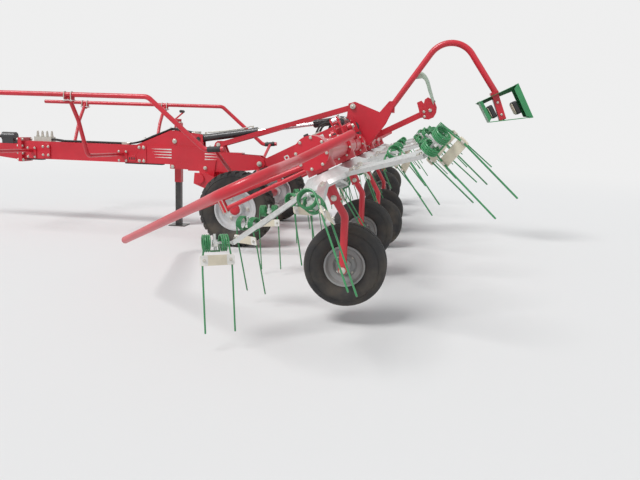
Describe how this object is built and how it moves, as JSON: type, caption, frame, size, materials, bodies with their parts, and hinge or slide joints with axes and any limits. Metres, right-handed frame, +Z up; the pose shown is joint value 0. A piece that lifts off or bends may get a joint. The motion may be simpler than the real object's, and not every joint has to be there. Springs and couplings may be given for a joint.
{
  "type": "trailed rotary hay tedder",
  "caption": "Trailed rotary hay tedder with a drawbar, transport wheels, jack, four-bar lift, folding wings, guard bows, spring-tine rotors and small field wheels.",
  "frame": {"origin": "on the floor, at the middle of the whole box", "axes": "-X is the direction of travel, -Y the left wing, +Z up"},
  "size_m": [6.578, 8.4308, 2.0109],
  "materials": {
    "red_paint": "gloss",
    "zinc_steel": "satin",
    "tine_green": "satin",
    "black_rubber": "matte",
    "tyre_rubber": "matte",
    "black_paint": "satin",
    "black_plastic": "matte",
    "silver_rim": "satin",
    "grey_rim": "satin",
    "chrome_rod": "polished",
    "green_paint": "satin"
  },
  "bodies": {
    "chassis": {"drawbar": "red_paint", "hitch_eye": "red_paint", "axle_frame": "red_paint", "guard_rail_left": "red_paint", "guard_rail_right": "red_paint", "hydraulic_fittings": "zinc_steel", "hydraulic_hoses": "black_rubber", "drive_shaft": "black_paint", "jack_sleeve": "red_paint"},
    "jack_leg": {"jack_leg": "zinc_steel"},
    "transport_wheel_left": {"transport_tyre_left": "tyre_rubber", "transport_rim_left": "silver_rim"},
    "transport_wheel_right": {"transport_tyre_right": "tyre_rubber", "transport_rim_right": "silver_rim"},
    "lift_arm": {"lift_arm": "red_paint"},
    "upper_link": {"upper_link": "red_paint"},
    "lift_cylinder_barrel": {"lift_cylinder_barrel": "black_paint"},
    "lift_cylinder_rod": {"lift_cylinder_rod": "chrome_rod"},
    "cardan_front": {"cardan_front": "black_plastic"},
    "cardan_rear": {"cardan_rear": "black_plastic"},
    "centre_section": {"centre_frame": "red_paint", "rear_hoop": "red_paint", "panel_frame": "green_paint", "wheel_legs_centre": "red_paint"},
    "wing_left": {"wing_frame_left": "red_paint", "guard_bow_left": "red_paint", "wheel_legs_left": "red_paint"},
    "wing_right": {"wing_frame_right": "red_paint", "guard_bow_right": "red_paint", "wheel_legs_right": "red_paint"},
    "fold_barrel_left": {"fold_barrel_left": "black_paint"},
    "fold_barrel_right": {"fold_barrel_right": "black_paint"},
    "fold_rod_left": {"fold_rod_left": "chrome_rod"},
    "fold_rod_right": {"fold_rod_right": "chrome_rod"},
    "rotor_1": {"rotor_hub_1": "zinc_steel", "rotor_tines_1": "tine_green"},
    "tedder_wheel_1": {"tedder_tyre_1": "tyre_rubber", "tedder_rim_1": "grey_rim"},
    "rotor_2": {"rotor_hub_2": "zinc_steel", "rotor_tines_2": "tine_green"},
    "tedder_wheel_2": {"tedder_tyre_2": "tyre_rubber", "tedder_rim_2": "grey_rim"},
    "rotor_3": {"rotor_hub_3": "zinc_steel", "rotor_tines_3": "tine_green"},
    "tedder_wheel_3": {"tedder_tyre_3": "tyre_rubber", "tedder_rim_3": "grey_rim"},
    "rotor_4": {"rotor_hub_4": "zinc_steel", "rotor_tines_4": "tine_green"},
    "tedder_wheel_4": {"tedder_tyre_4": "tyre_rubber", "tedder_rim_4": "grey_rim"},
    "rotor_5": {"rotor_hub_5": "zinc_steel", "rotor_tines_5": "tine_green"},
    "tedder_wheel_5": {"tedder_tyre_5": "tyre_rubber", "tedder_rim_5": "grey_rim"},
    "rotor_6": {"rotor_hub_6": "zinc_steel", "rotor_tines_6": "tine_green"},
    "tedder_wheel_6": {"tedder_tyre_6": "tyre_rubber", "tedder_rim_6": "grey_rim"}
  },
  "joints": [
    {"name": "jack_wind", "type": "slide", "parent": "chassis", "child": "jack_leg", "axis": [0, 0, 1], "range_m": [0, 0.38]},
    {"name": "transport_spin_left", "type": "hinge", "parent": "chassis", "child": "transport_wheel_left", "pos_m": [0.535, 0, 0.35], "axis": [0, 1, 0], "continuous": true},
    {"name": "transport_spin_right", "type": "hinge", "parent": "chassis", "child": "transport_wheel_right", "pos_m": [0.535, 0, 0.35], "axis": [0, 1, 0], "continuous": true},
    {"name": "lift", "type": "hinge", "parent": "chassis", "child": "lift_arm", "pos_m": [0.55, 0, 0.724], "axis": [0, -1, 0], "range_deg": [-6, 16]},
    {"name": "frame_tilt", "type": "hinge", "parent": "lift_arm", "child": "centre_section", "pos_m": [1.4652, 0, 1.00031], "axis": [0, -1, 0], "range_deg": [-17.45, 6.54]},
    {"name": "upper_link_swing", "type": "hinge", "parent": "chassis", "child": "upper_link", "pos_m": [0.109, 0, 0.905], "axis": [0, -1, 0], "range_deg": [-3.86, 10.28]},
    {"name": "lift_cylinder_swing", "type": "hinge", "parent": "chassis", "child": "lift_cylinder_barrel", "pos_m": [-0.119, 0, 0.96], "axis": [0, -1, 0], "range_deg": [-3.6, 9.6]},
    {"name": "lift_cylinder_stroke", "type": "slide", "parent": "lift_cylinder_barrel", "child": "lift_cylinder_rod", "axis": [0.9876, 0, 0.1571], "range_m": [-0.0414, 0.0156]},
    {"name": "cardan_swing", "type": "hinge", "parent": "chassis", "child": "cardan_front", "pos_m": [0.55, 0, 0.724], "axis": [0, -1, 0], "range_deg": [-6.5, 17.32]},
    {"name": "cardan_telescope", "type": "slide", "parent": "cardan_front", "child": "cardan_rear", "axis": [0.9804, 0, 0.1968], "range_m": [-0.0255, 0.0097]},
    {"name": "fold_left", "type": "hinge", "parent": "centre_section", "child": "wing_left", "pos_m": [1.52598, -1.3, 1.09584], "axis": [-0.891, 0, -0.454], "range_deg": [-3, 88]},
    {"name": "fold_cylinder_swing_left", "type": "hinge", "parent": "centre_section", "child": "fold_barrel_left", "pos_m": [1.48739, -0.42, 1.17158], "axis": [-0.891, 0, -0.454], "range_deg": [-0.29, 8.36]},
    {"name": "fold_cylinder_stroke_left", "type": "slide", "parent": "fold_barrel_left", "child": "fold_rod_left", "axis": [0, -1, 0], "range_m": [-0.2695, 0.0093]},
    {"name": "fold_right", "type": "hinge", "parent": "centre_section", "child": "wing_right", "pos_m": [1.52598, 1.3, 1.09584], "axis": [0.891, 0, 0.454], "range_deg": [-3, 88]},
    {"name": "fold_cylinder_swing_right", "type": "hinge", "parent": "centre_section", "child": "fold_barrel_right", "pos_m": [1.48739, 0.42, 1.17158], "axis": [0.891, 0, 0.454], "range_deg": [-0.29, 8.36]},
    {"name": "fold_cylinder_stroke_right", "type": "slide", "parent": "fold_barrel_right", "child": "fold_rod_right", "axis": [0, 1, 0], "range_m": [-0.2695, 0.0093]},
    {"name": "rotor_spin_1", "type": "hinge", "parent": "wing_left", "child": "rotor_1", "pos_m": [1.66218, -3.25, 0.82854], "axis": [-0.454, 0, 0.891], "continuous": true},
    {"name": "tedder_spin_1", "type": "hinge", "parent": "wing_left", "child": "tedder_wheel_1", "pos_m": [1.7637, -3.09, 0.35432], "axis": [0, 1, 0], "continuous": true},
    {"name": "rotor_spin_2", "type": "hinge", "parent": "wing_left", "child": "rotor_2", "pos_m": [1.66218, -1.95, 0.82854], "axis": [-0.454, 0, 0.891], "continuous": true},
    {"name": "tedder_spin_2", "type": "hinge", "parent": "wing_left", "child": "tedder_wheel_2", "pos_m": [1.7637, -1.79, 0.35432], "axis": [0, 1, 0], "continuous": true},
    {"name": "rotor_spin_3", "type": "hinge", "parent": "centre_section", "child": "rotor_3", "pos_m": [1.66218, -0.65, 0.82854], "axis": [-0.454, 0, 0.891], "continuous": true},
    {"name": "tedder_spin_3", "type": "hinge", "parent": "centre_section", "child": "tedder_wheel_3", "pos_m": [1.82449, -0.49, 0.235], "axis": [0, 1, 0], "continuous": true},
    {"name": "rotor_spin_4", "type": "hinge", "parent": "centre_section", "child": "rotor_4", "pos_m": [1.66218, 0.65, 0.82854], "axis": [-0.454, 0, 0.891], "continuous": true},
    {"name": "tedder_spin_4", "type": "hinge", "parent": "centre_section", "child": "tedder_wheel_4", "pos_m": [1.82449, 0.49, 0.235], "axis": [0, 1, 0], "continuous": true},
    {"name": "rotor_spin_5", "type": "hinge", "parent": "wing_right", "child": "rotor_5", "pos_m": [1.66218, 1.95, 0.82854], "axis": [-0.454, 0, 0.891], "continuous": true},
    {"name": "tedder_spin_5", "type": "hinge", "parent": "wing_right", "child": "tedder_wheel_5", "pos_m": [1.7637, 1.79, 0.35432], "axis": [0, 1, 0], "continuous": true},
    {"name": "rotor_spin_6", "type": "hinge", "parent": "wing_right", "child": "rotor_6", "pos_m": [1.66218, 3.25, 0.82854], "axis": [-0.454, 0, 0.891], "continuous": true},
    {"name": "tedder_spin_6", "type": "hinge", "parent": "wing_right", "child": "tedder_wheel_6", "pos_m": [1.7637, 3.09, 0.35432], "axis": [0, 1, 0], "continuous": true}
  ],
  "couplings": [
    {"joint": "frame_tilt", "follows": "lift", "ratio": -1.0907},
    {"joint": "upper_link_swing", "follows": "lift", "ratio": 0.64263},
    {"joint": "lift_cylinder_swing", "follows": "lift", "ratio": 0.60008},
    {"joint": "lift_cylinder_stroke", "follows": "lift", "m_per_rad": -0.1477},
    {"joint": "cardan_swing", "follows": "lift", "ratio": 1.0827},
    {"joint": "cardan_telescope", "follows": "lift", "m_per_rad": -0.090784},
    {"joint": "fold_cylinder_swing_left", "follows": "fold_left", "ratio": 0.094986},
    {"joint": "fold_cylinder_stroke_left", "follows": "fold_left", "m_per_rad": -0.17538},
    {"joint": "fold_cylinder_swing_right", "follows": "fold_right", "ratio": 0.094986},
    {"joint": "fold_cylinder_stroke_right", "follows": "fold_right", "m_per_rad": -0.17538},
    {"joint": "rotor_spin_2", "follows": "rotor_spin_1", "ratio": -1},
    {"joint": "rotor_spin_3", "follows": "rotor_spin_1", "ratio": 1},
    {"joint": "rotor_spin_4", "follows": "rotor_spin_1", "ratio": -1},
    {"joint": "rotor_spin_5", "follows": "rotor_spin_1", "ratio": 1},
    {"joint": "rotor_spin_6", "follows": "rotor_spin_1", "ratio": -1}
  ]
}
